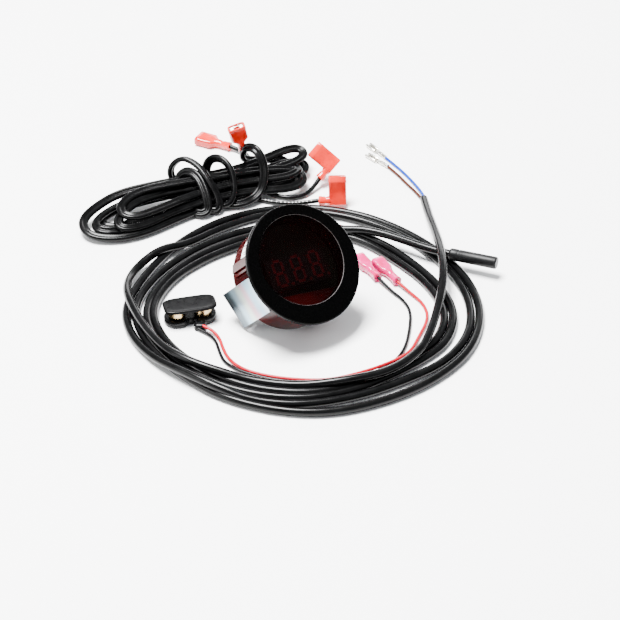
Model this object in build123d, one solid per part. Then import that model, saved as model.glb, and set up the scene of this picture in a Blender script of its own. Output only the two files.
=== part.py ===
"""Round digital panel meter kit: meter head, battery lead, sensor cable and power cord.

Millimetres, +Z up, standing surface at z = 0, +Y away from the side the meter faces.
The origin is the middle of the meter head's box, at its base. The head lies tilted back
on its case and its clamp bracket, inside the coil of the sensor cable.
"""

import os
from math import cos, pi, radians, sin, tan

from build123d import *

os.makedirs("parts", exist_ok=True)

# ---- meter head: driving dimensions, in its own frame (z = 0 is the bezel's front) ----
BEZEL_RADIUS = 30.0
BEZEL_THICK = 2.6
BEZEL_LIP = 0.6
WINDOW_RADIUS = 22.65
WINDOW_OFFSET = (0.0, -2.2)
LENS_RADIUS = 23.9
LENS_THICK = 1.9
CASE_RADIUS = 26.0
CASE_WALL = 1.8
CASE_REAR = 25.0
COVER_THICK = 1.8
BOARD_RADIUS = 23.0
BOARD_THICK = 1.6
DISPLAY_BOARD_DEPTH = 11.0
MAIN_BOARD_DEPTH = 16.4
POST_RADIUS = 3.0
POST_CIRCLE = 21.5
POST_ANGLES = (45, 165, 285)
SCREW_RADIUS = 1.3
SCREW_HEAD_RADIUS = 2.4
SCREW_HEAD_THICK = 1.5
SCREW_TIP = 19.6
FIT_GAP = 0.05

# ribs on the case's side: angle, width, front and rear depth
CASE_RIBS = [(-36.5, 4.4, 7.5, 23.0), (-27.6, 1.1, 8.0, 21.5)]
RIB_HEIGHT = 1.2
LABEL_ANGLES = (-69.0, -42.5)
LABEL_DEPTHS = (8.0, 20.5)
LABEL_THICK = 0.2

# blades at the rear: place and width
BLADES = {
    "power_tab_plus": (-6.0, 7.5, 6.35),
    "power_tab_minus": (6.0, 7.5, 6.35),
    "sensor_tab_1": (-5.0, -8.0, 2.8),
    "sensor_tab_2": (5.0, -8.0, 2.8),
}
BLADE_THICK = 0.8
BLADE_END = 32.4

# ---- display: three seven-segment digits, turned in the face plane ----
DISPLAY_CENTRE = (2.2, 0.4)
DISPLAY_TURN = 165.7
DIGIT_HEIGHT = 13.6
DIGIT_WIDTH = 6.2
DIGIT_PITCH = 10.2
SEGMENT_WIDTH = 1.3
BLOCK_SIZE = (32.4, 15.0)
BLOCK_FRONT = 3.9
SEGMENT_THICK = 0.2

# ---- clamp bracket, studs and nuts ----
STRAP_WIDTH = 19.0
STRAP_THICK = 1.2
STRAP_OUTER = 27.5
BRACKET_TIP = 4.8
BRACKET_BASE = 36.5
BRACKET_Y = 1.0
STUD_RADIUS = 2.0
STUD_X = 14.0
STUD_END = 46.5
STUD_HEAD_RADIUS = 3.4
STUD_HEAD_THICK = 1.6
NUT_FLATS = 7.0
NUT_THICK = 3.2
WASHER_RADIUS = 4.5
WASHER_THICK = 0.8

# ---- how the head lies ----
FACE_CENTRE = (6.46, -8.58, 36.05)
FACE_HEADING = -51.07
FACE_TILT = 44.24
HEAD_SPIN = -83.1
HEAD_POSE = (
    Pos(*FACE_CENTRE) * Rot(0, 0, FACE_HEADING) * Rot(0, FACE_TILT, 0) * Rot(0, 0, HEAD_SPIN)
)

# ---- cords ----
SENSOR_CABLE = 4.2
SENSOR_WIRE = 1.5
BATTERY_WIRE = 1.5
POWER_WIRE = 2.4
PROBE_RADIUS = 3.15
PROBE_LENGTH = 25.0
PROBE_START = (79.7, 40.6, 7.9)
PROBE_DIRECTION = (0.932, -0.361, 0.02)
SLEEVE_BARREL_RADIUS = 2.4
SLEEVE_HEIGHT = 4.6
MOUTH_HEIGHT = 2.8
BATTERY_SLEEVE = (6.5, 21.0)
POWER_SLEEVE = (9.4, 20.5)
FLAG_MIDDLE = 10.1
FLAG_TOP = 13.0
COIL_HEIGHT = 4.6
COIL_OUTER = (89.0, 88.0)
COIL_OUTER_CENTRE = (5.7, 6.3)
COIL_INNER = (71.0, 61.0)
COIL_INNER_CENTRE = (2.6, 1.6)
HANK_CENTRE = (-52.0, 95.0)
HANK_TURN = 26.0
HANK_STRAIGHT = 95.0
HANK_WIDTH = 30.0
HANK_HEIGHT = 13.0
WRAP_LENGTH = 24.0
WRAP_WIDTH = 33.0
WRAP_HEIGHT = 19.0

# ---- battery snap ----
SNAP_CENTRE = (-49.4, -4.4, 0.0)
SNAP_TURN = 14.0
SNAP_LENGTH = 26.0
SNAP_WIDTH = 12.6
SNAP_BASE_THICK = 3.4
SNAP_PITCH = 12.7
SNAP_COVER_LOW = 8.0
SNAP_COVER_THICK = 1.7
STUD_CONTACT_RADIUS = 2.85
CROWN_BORE_RADIUS = 2.92
CROWN_OUTER_RADIUS = 4.4
CONTACT_TOP = 7.0

# ---- routes, hand placed, from one end of each cord to the other ----
SENSOR_TAIL_ROUTE = [
    (49.0, -53.0, 4.0),
    (62.1, -38.4, 6.8),
    (72.2, -19.1, 7.4),
    (77.2, 3.2, 8.2),
    (77.7, 23.4, 12.4),
    (74.7, 46.5, 12.4),
    (71.1, 65.8, 8.4),
    (69.2, 82.3, 3.4),
    (69.6, 101.0, 2.1),
]
SENSOR_PROBE_ROUTE = [
    (16.0, 66.9, 3.4),
    (31.1, 65.9, 5.6),
    (45.1, 61.3, 7.0),
    (57.1, 54.1, 7.2),
    (68.7, 46.0, 7.5),
    PROBE_START,
]
BLUE_ROUTE = [
    (69.9, 101.6, 2.8),
    (68.3, 109.5, 1.6),
    (63.9, 121.0, 0.8),
    (57.8, 133.0, 0.8),
    (50.8, 143.8, 0.9),
]
BROWN_ROUTE = [
    (69.0, 101.0, 1.2),
    (66.0, 109.0, 0.8),
    (61.0, 118.0, 0.8),
    (56.6, 127.0, 0.8),
    (51.8, 134.6, 0.9),
]
BATTERY_RED_ROUTE = [
    (-43.5, -13.0, 2.6),
    (-38.6, -15.4, 2.2),
    (-34.4, -21.2, 1.0),
    (-32.6, -29.0, 0.8),
    (-29.6, -37.6, 0.8),
    (-23.0, -45.4, 0.8),
    (-12.0, -50.4, 0.8),
    (2.0, -53.4, 0.8),
    (18.0, -54.2, 1.0),
    (33.0, -50.6, 2.6),
    (46.5, -43.2, 2.6),
    (57.0, -33.0, 1.0),
    (61.6, -20.4, 0.8),
    (67.2, -5.0, 0.8),
    (65.6, 7.0, 0.8),
    (58.6, 16.8, 1.2),
    (53.0, 24.0, 2.5),
]
BATTERY_BLACK_ROUTE = [
    (-45.2, -13.9, 1.2),
    (-40.4, -17.2, 0.9),
    (-36.2, -22.8, 0.8),
    (-34.4, -31.0, 0.8),
    (-31.6, -40.4, 0.8),
    (-22.4, -48.0, 0.8),
    (-8.0, -53.8, 0.8),
    (9.0, -56.2, 0.8),
    (25.0, -55.0, 0.8),
    (38.0, -49.2, 0.8),
    (48.6, -41.0, 0.8),
    (54.6, -30.0, 0.8),
    (57.4, -15.6, 0.8),
    (58.8, 0.6, 0.8),
    (55.6, 10.4, 0.8),
    (49.0, 18.6, 1.2),
    (43.4, 27.4, 2.5),
]
FLAG_A_ROUTE = [
    (-13.0, 106.5, 2.0),
    (-5.0, 102.6, 1.3),
    (4.5, 103.6, 1.3),
    (10.0, 109.6, 1.6),
    (14.3, 116.4, 5.0),
]
FLAG_B_ROUTE = [
    (-27.0, 104.6, 1.6),
    (-14.0, 99.4, 1.3),
    (-2.0, 97.3, 1.2),
    (7.0, 97.0, 2.2),
    (13.8, 97.2, 3.3),
]
SLEEVE_C_ROUTE = [
    (-40.0, 116.0, 4.0),
    (-31.0, 124.6, 2.4),
    (-24.4, 133.0, 1.4),
    (-23.4, 142.4, 1.3),
    (-27.6, 149.6, 1.5),
    (-34.6, 153.2, 2.5),
]
SLEEVE_D_ROUTE = [
    (2.0, 117.0, 4.0),
    (-4.0, 127.4, 2.4),
    (-13.0, 131.0, 1.6),
    (-21.0, 130.8, 4.2),
    (-25.4, 128.4, 9.6),
    (-26.6, 126.0, 16.0),
]

nodes = {}


def corner_radii(points, smallest):
    """Radius of each corner of a route: 0.45 of the shorter run over the half turn's tangent."""
    radii = []
    for before, here, after in zip(points, points[1:], points[2:]):
        run_in = Vector(*here) - Vector(*before)
        run_out = Vector(*after) - Vector(*here)
        half_turn = radians(run_in.get_angle(run_out)) / 2
        radii.append(0.45 * min(run_in.length, run_out.length) / tan(half_turn))
    assert min(radii) > smallest, f"corner of {min(radii):.1f} mm is too tight"
    return radii


def cord_tube(name, points, diameter, tightest=3.0):
    """One cord as a round tube of straight runs joined by tangent arcs."""
    radii = corner_radii(points, tightest * diameter)
    path = FilletPolyline(*points, radius=radii)
    tube = sweep(Plane(path ^ 0) * Circle(diameter / 2), path)
    wanted = pi * diameter**2 / 4 * path.length
    print(
        f"{name}: length {path.length:.0f}, radii",
        " ".join(f"{radius:.0f}" for radius in radii),
        f"volume ratio {tube.volume / wanted:.3f}",
    )
    nodes[name] = tube


def along(start, direction, roll_axis):
    """Frame at start whose local +X runs along direction and +Z is near roll_axis."""
    side = Vector(*roll_axis).cross(Vector(*direction))
    normal = Vector(*direction).cross(side)
    return Plane(origin=start, x_dir=direction, z_dir=tuple(normal)).location


def disc(radius, front, rear):
    """Round plate of the head between two depths behind the bezel's front."""
    return Pos(0, 0, -rear) * extrude(Circle(radius), rear - front)


def block(size_x, size_y, front, rear, x=0.0, y=0.0):
    """Rectangular block of the head between two depths."""
    return Pos(x, y, -rear) * extrude(Rectangle(size_x, size_y), rear - front)


# ------------------------------------------------------------------ meter head
def make_bezel():
    body = disc(BEZEL_RADIUS, 0, BEZEL_THICK)
    body = fillet(body.edges().group_by(Axis.Z)[-1], 0.9)
    body = fillet(body.edges().group_by(Axis.Z)[0], 0.4)
    window = Pos(*WINDOW_OFFSET, 0)
    body -= window * disc(WINDOW_RADIUS, -1, BEZEL_LIP + 0.1)
    body -= window * disc(LENS_RADIUS + 0.1, BEZEL_LIP, BEZEL_THICK + 1)
    return body


def make_lens():
    plate = disc(LENS_RADIUS, BEZEL_LIP, BEZEL_LIP + LENS_THICK)
    return Pos(*WINDOW_OFFSET, 0) * plate


def case_rib(angle, width, front, rear):
    """Rib that stands up from the case's side and runs along it."""
    radial = RIB_HEIGHT + 1.0
    rib = block(radial, width, front, rear, x=CASE_RADIUS - 1.0 + radial / 2)
    return Rot(0, 0, angle) * rib


def post_places():
    for angle in POST_ANGLES:
        yield POST_CIRCLE * cos(radians(angle)), POST_CIRCLE * sin(radians(angle))


def make_case():
    inner = CASE_RADIUS - CASE_WALL
    rear_step = CASE_REAR - COVER_THICK
    shell = disc(CASE_RADIUS, BEZEL_THICK, CASE_REAR)
    shell -= disc(inner, BEZEL_THICK - 1, CASE_REAR + 1)
    for rib in CASE_RIBS:
        shell += case_rib(*rib)
    board_rear = MAIN_BOARD_DEPTH + BOARD_THICK
    for x, y in post_places():
        post = Pos(x, y, 0) * disc(POST_RADIUS, board_rear + 0.1, rear_step)
        shell += post & disc(inner + 0.5, board_rear, rear_step)
    for x, y in post_places():
        shell -= Pos(x, y, 0) * disc(SCREW_RADIUS + FIT_GAP, board_rear, CASE_REAR + 1)
    return shell


def make_back_cover():
    cover = disc(CASE_RADIUS - CASE_WALL - FIT_GAP, CASE_REAR - COVER_THICK, CASE_REAR)
    for x, y in post_places():
        cover -= Pos(x, y, 0) * disc(SCREW_RADIUS + FIT_GAP, 0, CASE_REAR + 1)
    for side in (-1, 1):
        cover -= Pos(side * STUD_X, 0, 0) * disc(STUD_RADIUS + FIT_GAP, 0, CASE_REAR + 1)
    for x, y, width in BLADES.values():
        cover -= block(width + 0.3, BLADE_THICK + 0.3, 0, CASE_REAR + 1, x, y)
    return cover


def make_screws():
    screws = []
    for x, y in post_places():
        shank = disc(SCREW_RADIUS, SCREW_TIP, CASE_REAR)
        head = disc(SCREW_HEAD_RADIUS, CASE_REAR, CASE_REAR + SCREW_HEAD_THICK)
        head = fillet(head.edges().group_by(Axis.Z)[0], 0.6)
        slot = block(3.2, 0.6, CASE_REAR + 0.8, CASE_REAR + 2)
        cross = block(0.6, 3.2, CASE_REAR + 0.8, CASE_REAR + 2)
        screws.append(Pos(x, y, 0) * (shank + head - slot - cross))
    return Compound(children=screws)


def make_tab(x, y, width):
    blade = block(width, BLADE_THICK, MAIN_BOARD_DEPTH + BOARD_THICK, BLADE_END, x, y)
    blade = chamfer(blade.edges().group_by(Axis.Z)[0], 0.3)
    hole = Pos(x, y, 3.6 - BLADE_END) * Rot(90, 0, 0) * Cylinder(0.7, 3)
    return blade - hole


def make_stud(side):
    shank = disc(STUD_RADIUS, CASE_REAR - COVER_THICK, STUD_END)
    shank = chamfer(shank.edges().group_by(Axis.Z)[0], 0.5)
    seat = CASE_REAR - COVER_THICK
    head = disc(STUD_HEAD_RADIUS, seat - STUD_HEAD_THICK, seat)
    return Pos(side * STUD_X, 0, 0) * (shank + head)


def make_bracket():
    depth = BRACKET_BASE - BRACKET_TIP
    outline = Pos(0, 0, -(BRACKET_TIP + depth / 2)) * Box(2 * STRAP_OUTER, STRAP_WIDTH, depth)
    corners = outline.edges().filter_by(Axis.Y).group_by(Axis.Z)[0]
    outline = fillet(corners, 2.4)
    inner = STRAP_OUTER - STRAP_THICK
    hollow = Pos(0, 0, -(BRACKET_TIP + depth / 2) + STRAP_THICK) * Box(
        2 * inner, STRAP_WIDTH + 1, depth
    )
    hollow = fillet(hollow.edges().filter_by(Axis.Y).group_by(Axis.Z)[0], 1.2)
    strap = Pos(0, BRACKET_Y, 0) * (outline - hollow)
    for side in (-1, 1):
        strap -= Pos(side * STUD_X, 0, 0) * disc(STUD_RADIUS + 0.3, 30, BRACKET_BASE + 1)
    return strap


def make_washers():
    rings = []
    for side in (-1, 1):
        ring = disc(WASHER_RADIUS, BRACKET_BASE, BRACKET_BASE + WASHER_THICK)
        ring -= disc(STUD_RADIUS + 0.2, BRACKET_BASE - 1, BRACKET_BASE + 2)
        rings.append(Pos(side * STUD_X, 0, 0) * ring)
    return Compound(children=rings)


def make_nut(side):
    front = BRACKET_BASE + WASHER_THICK
    hexagon = RegularPolygon(NUT_FLATS / 2, 6, major_radius=False)
    nut = Pos(0, 0, -(front + NUT_THICK)) * extrude(hexagon, NUT_THICK)
    nut -= disc(STUD_RADIUS + FIT_GAP, front - 1, front + NUT_THICK + 1)
    return Pos(side * STUD_X, 0, 0) * nut


def make_label():
    """Paper label on the case's side, a thin sector of a ring."""
    front, rear = LABEL_DEPTHS
    ring = disc(CASE_RADIUS + LABEL_THICK, front, rear) - disc(CASE_RADIUS, front - 1, rear + 1)
    reach = 2 * CASE_RADIUS
    corners = [(reach * cos(radians(angle)), reach * sin(radians(angle))) for angle in LABEL_ANGLES]
    wedge = make_face(Polyline((0, 0), *corners, close=True))
    return ring & (Pos(0, 0, -CASE_REAR) * extrude(wedge, CASE_REAR))


def make_segments():
    """Twenty-one light bars and three points on the front of the display block."""
    bars = []
    half_height = DIGIT_HEIGHT / 2 - SEGMENT_WIDTH / 2
    half_width = DIGIT_WIDTH / 2 - SEGMENT_WIDTH / 2
    bar = DIGIT_WIDTH - 2 * SEGMENT_WIDTH
    post = DIGIT_HEIGHT / 2 - 1.5 * SEGMENT_WIDTH - 0.2
    depths = (BLOCK_FRONT - SEGMENT_THICK, BLOCK_FRONT)
    for digit in (-1, 0, 1):
        middle = digit * DIGIT_PITCH
        for level in (-1, 0, 1):
            bars.append(block(bar, SEGMENT_WIDTH, *depths, middle, level * half_height))
        for side in (-1, 1):
            for level in (-0.5, 0.5):
                x = middle + side * half_width
                bars.append(block(SEGMENT_WIDTH, post, *depths, x, level * half_height))
        point = Pos(middle + DIGIT_PITCH / 2, 0.5 - DIGIT_HEIGHT / 2, 0)
        bars.append(point * disc(0.75, *depths))
    return Compound(children=bars)


def make_head():
    display = Pos(*DISPLAY_CENTRE, 0) * Rot(0, 0, DISPLAY_TURN)
    display_rear = DISPLAY_BOARD_DEPTH + BOARD_THICK
    main_rear = MAIN_BOARD_DEPTH + BOARD_THICK
    pieces = {
        "bezel": make_bezel(),
        "window_lens": make_lens(),
        "case": make_case(),
        "back_cover": make_back_cover(),
        "cover_screws": make_screws(),
        "side_label": make_label(),
        "clamp_bracket": make_bracket(),
        "bracket_washers": make_washers(),
        "clamp_nut_1": make_nut(1),
        "clamp_nut_2": make_nut(-1),
        "stud_1": make_stud(1),
        "stud_2": make_stud(-1),
        "display_block": display * block(*BLOCK_SIZE, BLOCK_FRONT, DISPLAY_BOARD_DEPTH),
        "display_segments": display * make_segments(),
        "display_board": disc(BOARD_RADIUS, DISPLAY_BOARD_DEPTH, display_rear),
        "board_header": block(20.0, 2.4, display_rear, MAIN_BOARD_DEPTH, 0, 14.0),
        "main_board": disc(BOARD_RADIUS, MAIN_BOARD_DEPTH, main_rear),
        "controller_chip": block(10.0, 7.5, 14.6, MAIN_BOARD_DEPTH, -5.0, -3.0),
        "voltage_regulator": block(6.5, 6.0, 14.1, MAIN_BOARD_DEPTH, 10.0, 3.0),
        "timing_crystal": block(8.0, 3.4, 13.6, MAIN_BOARD_DEPTH, 6.0, -8.0),
        "capacitors": Compound(
            children=[
                Pos(x, -13.5, 0) * disc(2.6, 13.2, MAIN_BOARD_DEPTH) for x in (-9.0, -2.5)
            ]
        ),
    }
    for name, place in BLADES.items():
        pieces[name] = make_tab(*place)
    for name, piece in pieces.items():
        nodes[name] = HEAD_POSE * piece


# ------------------------------------------------------------------ battery lead
def make_snap():
    """Battery snap: two-lobed moulding with a wire boss, its two contacts, and a cover plate."""
    place = Pos(*SNAP_CENTRE) * Rot(0, 0, SNAP_TURN)
    half = SNAP_PITCH / 2
    lobes = Pos(-half, 0) * Circle(6.6) + Pos(half, 0) * Circle(6.6)
    base = extrude(lobes + Rectangle(10, 8), SNAP_BASE_THICK)
    base = fillet(base.edges().group_by(Axis.Z)[-1], 0.6)
    boss = Pos(3.6, -7.6, 1.7) * Rot(0, 0, -16) * Box(6.0, 7.2, 3.4)
    boss = fillet(boss.edges().filter_by(Axis.Z), 0.8)
    nodes["snap_moulding"] = place * (base + boss)

    floor = SNAP_BASE_THICK
    stud = Pos(-half, 0, floor) * extrude(Circle(STUD_CONTACT_RADIUS), CONTACT_TOP - floor)
    crown = Pos(half, 0, floor) * extrude(Circle(CROWN_OUTER_RADIUS), CONTACT_TOP - floor)
    crown -= Pos(half, 0, floor + 0.5) * extrude(Circle(CROWN_BORE_RADIUS), 5)
    nodes["snap_contacts"] = place * Compound(children=[stud, crown])

    plate = Pos(0, 0, SNAP_COVER_LOW) * extrude(
        RectangleRounded(SNAP_LENGTH, SNAP_WIDTH, 4.0), SNAP_COVER_THICK
    )
    plate = fillet(plate.edges().group_by(Axis.Z)[-1], 0.4)
    nodes["snap_cover"] = place * plate
    low = floor + 0.8
    socket = Pos(-half, 0, low) * extrude(Circle(CROWN_OUTER_RADIUS), SNAP_COVER_LOW - low)
    socket -= Pos(-half, 0, low - 1) * extrude(Circle(CROWN_BORE_RADIUS), CONTACT_TOP + 1.3 - low)
    button = Pos(half, 0, low) * extrude(Circle(STUD_CONTACT_RADIUS), SNAP_COVER_LOW - low)
    nodes["snap_cover_contacts"] = place * Compound(children=[socket, button])


def straight_sleeve(width, length):
    """Insulated push-on receptacle: barrel from x = 0, then a flat housing with a mouth."""
    barrel_length = 0.42 * length
    barrel = Rot(0, 90, 0) * extrude(Circle(SLEEVE_BARREL_RADIUS), barrel_length + 0.5)
    housing_length = length - barrel_length
    housing = Box(housing_length, width, SLEEVE_HEIGHT)
    housing = Pos(barrel_length + housing_length / 2, 0, 0) * housing
    housing = fillet(housing.edges().filter_by(Axis.X), 1.3)
    mouth = Pos(length - 4.2, 0, 0) * Box(8.6, width - 1.8, MOUTH_HEIGHT)
    return barrel + housing - mouth


def receptacle(width, mouth_x):
    """Metal receptacle inside a sleeve's mouth: a plate with two rolled edges."""
    plate = Pos(mouth_x - 4.6, 0, -1.0) * Box(7.8, width - 2.2, 0.8)
    curl = extrude(Circle(0.9), 7.8)
    shape = plate
    for side in (-1, 1):
        place = Pos(mouth_x - 8.5, side * (width / 2 - 2.2), 0.2)
        shape += place * Rot(0, 90, 0) * curl
    return shape


def flag_sleeve():
    """Right-angle receptacle: barrel along x, housing beside it with its mouth up."""
    width = POWER_SLEEVE[0]
    barrel = Rot(0, 90, 0) * extrude(Circle(SLEEVE_BARREL_RADIUS), 9.0)
    housing = Pos(FLAG_MIDDLE, 0, 5.3) * Box(width, SLEEVE_HEIGHT, 15.5)
    housing = fillet(housing.edges().filter_by(Axis.Z), 0.8)
    mouth = Pos(FLAG_MIDDLE, 0, 8.8) * Box(width - 1.8, MOUTH_HEIGHT, 8.8)
    return barrel + housing - mouth


def flag_receptacle():
    """Metal receptacle in a right-angle sleeve's mouth."""
    upright = Rot(0, -90, 0) * receptacle(POWER_SLEEVE[0], 0.0)
    return Pos(FLAG_MIDDLE, 0, FLAG_TOP) * Rot(0, 0, 90) * upright


def make_battery_lead():
    make_snap()
    cord_tube("battery_wire_red", BATTERY_RED_ROUTE, BATTERY_WIRE)
    cord_tube("battery_wire_black", BATTERY_BLACK_ROUTE, BATTERY_WIRE)
    ends = {"red": BATTERY_RED_ROUTE[-1], "black": BATTERY_BLACK_ROUTE[-1]}
    receptacles = []
    for colour, end in ends.items():
        place = along(end, (-0.474, 0.880, 0.0), (0, 0, 1))
        nodes[f"battery_sleeve_{colour}"] = place * straight_sleeve(*BATTERY_SLEEVE)
        receptacles.append(place * receptacle(*BATTERY_SLEEVE))
    nodes["battery_receptacles"] = Compound(children=receptacles)


# ------------------------------------------------------------------ sensor cable
def make_coil():
    """Outer shape of the loose coil: the ring between two ellipses."""
    outer = Pos(*COIL_OUTER_CENTRE) * Ellipse(*COIL_OUTER)
    inner = Pos(*COIL_INNER_CENTRE) * Ellipse(*COIL_INNER)
    return extrude(outer - inner, COIL_HEIGHT)


def bare_terminal():
    """Uninsulated push-on receptacle, wire barrel at x = 0."""
    barrel = Rot(0, 90, 0) * extrude(Circle(1.1), 8.5)
    body = Pos(12.5, 0, 0) * Box(9.0, 4.0, 1.7)
    body = fillet(body.edges().filter_by(Axis.X), 0.6)
    mouth = Pos(13.5, 0, 0.1) * Box(8.0, 3.0, 0.7)
    return barrel + body - mouth


def make_sensor_cable():
    nodes["sensor_cable_coil"] = make_coil()
    cord_tube("sensor_cable_tail", SENSOR_TAIL_ROUTE, SENSOR_CABLE)
    cord_tube("sensor_cable_probe_run", SENSOR_PROBE_ROUTE, SENSOR_CABLE)
    probe = Rot(0, 90, 0) * extrude(Circle(PROBE_RADIUS), PROBE_LENGTH)
    probe = fillet(probe.edges().group_by(Axis.X)[-1], 0.4)
    nodes["sensor_probe"] = along(PROBE_START, PROBE_DIRECTION, (0, 0, 1)) * probe
    cord_tube("sensor_wire_blue", BLUE_ROUTE, SENSOR_WIRE)
    cord_tube("sensor_wire_brown", BROWN_ROUTE, SENSOR_WIRE)
    blue = along(BLUE_ROUTE[-1], (-0.544, 0.839, 0.0), (0, 0, 1))
    brown = along(BROWN_ROUTE[-1], (-0.66, 0.751, 0.0), (0, 0, 1))
    nodes["sensor_terminal_blue"] = Pos(0, 0, 0.2) * blue * bare_terminal()
    nodes["sensor_terminal_brown"] = Pos(0, 0, 0.2) * brown * bare_terminal()


# ------------------------------------------------------------------ power cord
def make_hank():
    """Outer shape of the folded twin cord and of the turns that tie its middle."""
    bundle = extrude(SlotCenterToCenter(HANK_STRAIGHT, HANK_WIDTH), HANK_HEIGHT)
    bundle = fillet(bundle.edges().group_by(Axis.Z)[-1], 4.0)
    wrap = Pos(6.0, 0, WRAP_HEIGHT / 2) * Box(WRAP_LENGTH, WRAP_WIDTH, WRAP_HEIGHT)
    wrap = fillet(wrap.edges().filter_by(Axis.X).group_by(Axis.Z)[-1], 6.0)
    return Pos(*HANK_CENTRE, 0) * Rot(0, 0, HANK_TURN) * (bundle + wrap)


def make_power_cord():
    nodes["power_cord_hank"] = make_hank()
    cord_tube("power_wire_1", FLAG_A_ROUTE, POWER_WIRE)
    cord_tube("power_wire_2", FLAG_B_ROUTE, POWER_WIRE)
    cord_tube("power_wire_3", SLEEVE_C_ROUTE, POWER_WIRE)
    cord_tube("power_wire_4", SLEEVE_D_ROUTE, POWER_WIRE)
    flag_a = along(FLAG_A_ROUTE[-1], (0.65, 0.447, 0.615), (-0.76, 0.382, 0.526))
    flag_b = along(FLAG_B_ROUTE[-1], (1.0, 0.0, 0.03), (-0.03, 0.36, 0.93))
    sleeve_c = along(SLEEVE_C_ROUTE[-1], (-0.889, 0.457, 0.0), (0, 0, 1))
    sleeve_d = along(SLEEVE_D_ROUTE[-1], (-0.16, -0.31, 0.94), (0.3, -0.9, -0.25))
    nodes["flag_sleeve_1"] = flag_a * flag_sleeve()
    nodes["flag_sleeve_2"] = flag_b * flag_sleeve()
    nodes["power_sleeve_3"] = sleeve_c * straight_sleeve(*POWER_SLEEVE)
    nodes["power_sleeve_4"] = sleeve_d * straight_sleeve(*POWER_SLEEVE)
    nodes["power_receptacles"] = Compound(
        children=[
            flag_a * flag_receptacle(),
            flag_b * flag_receptacle(),
            sleeve_c * receptacle(*POWER_SLEEVE),
            sleeve_d * receptacle(*POWER_SLEEVE),
        ]
    )


make_head()
make_battery_lead()
make_sensor_cable()
make_power_cord()
for name, shape in nodes.items():
    export_step(shape, f"parts/{name}.step")
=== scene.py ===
"""Looks of the round digital panel meter kit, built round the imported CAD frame.

Metres, the CAD's frame. Millimetre tables are turned into metres by MM where they are used.
"""

import math

import bmesh
import bpy
from mathutils import Matrix, Vector


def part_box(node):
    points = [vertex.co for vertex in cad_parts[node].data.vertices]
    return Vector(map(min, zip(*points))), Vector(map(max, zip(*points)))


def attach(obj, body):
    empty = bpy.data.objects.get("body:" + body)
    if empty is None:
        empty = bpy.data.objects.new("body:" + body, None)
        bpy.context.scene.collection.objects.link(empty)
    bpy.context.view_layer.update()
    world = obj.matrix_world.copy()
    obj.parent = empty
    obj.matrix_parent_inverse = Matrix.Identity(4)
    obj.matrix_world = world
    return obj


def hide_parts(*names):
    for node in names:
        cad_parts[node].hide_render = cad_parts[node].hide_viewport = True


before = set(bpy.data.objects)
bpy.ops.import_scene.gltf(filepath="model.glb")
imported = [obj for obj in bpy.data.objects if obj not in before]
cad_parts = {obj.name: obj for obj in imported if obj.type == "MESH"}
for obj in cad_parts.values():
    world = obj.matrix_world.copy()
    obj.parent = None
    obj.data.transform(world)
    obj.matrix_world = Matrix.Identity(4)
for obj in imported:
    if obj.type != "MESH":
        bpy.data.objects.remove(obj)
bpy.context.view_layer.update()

MM = 0.001
ROOT = "head_and_leads"

# ---------------------------------------------------------------- camera
CAMERA_PLACE = (0.0092, -0.8058, 0.5878)
CAMERA_ELEVATION = 36.0
CAMERA_LENS = 117.9
SENSOR_WIDTH = 36.0


def add_camera():
    data = bpy.data.cameras.new("camera")
    data.lens = CAMERA_LENS
    data.sensor_width = SENSOR_WIDTH
    data.clip_start = 0.05
    data.clip_end = 20.0
    camera = bpy.data.objects.new("camera", data)
    camera.location = CAMERA_PLACE
    camera.rotation_euler = (math.radians(90.0 - CAMERA_ELEVATION), 0.0, 0.0)
    bpy.context.scene.collection.objects.link(camera)
    bpy.context.scene.camera = camera


add_camera()

# ---------------------------------------------------------------- cord routes, mm
SENSOR_TAIL = [
    (69.6, 101.0, 2.1),
    (71.0, 84.5, 3.8),
    (73.0, 65.2, 7.4),
    (74.7, 45.4, 11.2),
    (75.6, 26.0, 12.4),
    (74.4, 8.6, 10.8),
    (70.8, -9.6, 8.6),
    (67.0, -24.4, 7.8),
    (62.1, -38.4, 6.8),
]
SENSOR_PROBE = [
    (31.1, 65.9, 6.6),
    (45.1, 61.3, 7.0),
    (57.1, 54.1, 7.2),
    (68.7, 46.0, 7.5),
    (79.7, 40.6, 7.9),
]
COIL_CENTRE = (5.8, 0.4)
COIL_SPREAD = 1.013  # the spline cuts inside its control points by this much
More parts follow.
